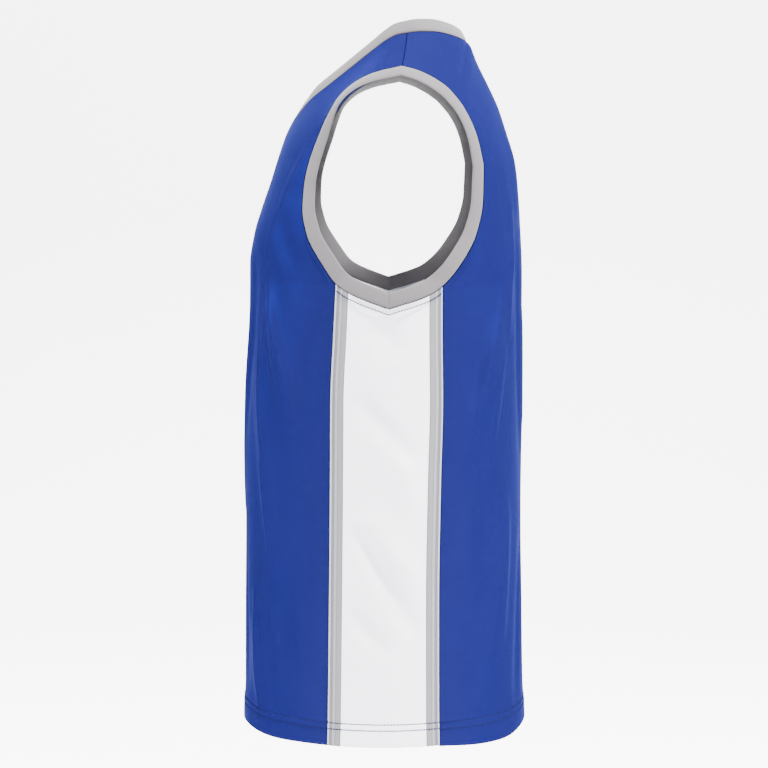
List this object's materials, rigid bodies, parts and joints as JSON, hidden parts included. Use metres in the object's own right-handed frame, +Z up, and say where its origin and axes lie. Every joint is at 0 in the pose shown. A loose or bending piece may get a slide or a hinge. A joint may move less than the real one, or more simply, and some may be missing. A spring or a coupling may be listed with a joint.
{
  "type": "flag football jersey",
  "caption": "Sleeveless V-neck sports jersey in blue knit with white side panels, grey tapes and grey neck and armhole bands, hollow and upright as if worn.",
  "frame": {"origin": "midway between the neck ends of the two shoulder seams, where the jersey hangs on the shoulders", "axes": "+Z up along the body, -Y towards the front of the jersey, +X towards the wearer's left side"},
  "size_m": [0.412, 0.3138, 0.7782],
  "materials": {
    "blue_cloth": "smooth knit with a slight sheen",
    "white_cloth": "smooth matte knit",
    "grey_trim": "matte knit band and tape",
    "piping": "smooth piping"
  },
  "bodies": {
    "root": {"front": "blue_cloth", "back": "blue_cloth", "side_panel_left": "white_cloth", "side_tape_left_front": "grey_trim", "side_piping_left_front": "piping", "side_tape_left_back": "grey_trim", "side_piping_left_back": "piping", "armhole_band_left": "grey_trim", "side_panel_right": "white_cloth", "side_tape_right_front": "grey_trim", "side_piping_right_front": "piping", "side_tape_right_back": "grey_trim", "side_piping_right_back": "piping", "armhole_band_right": "grey_trim", "neck_band": "grey_trim"}
  },
  "joints": []
}
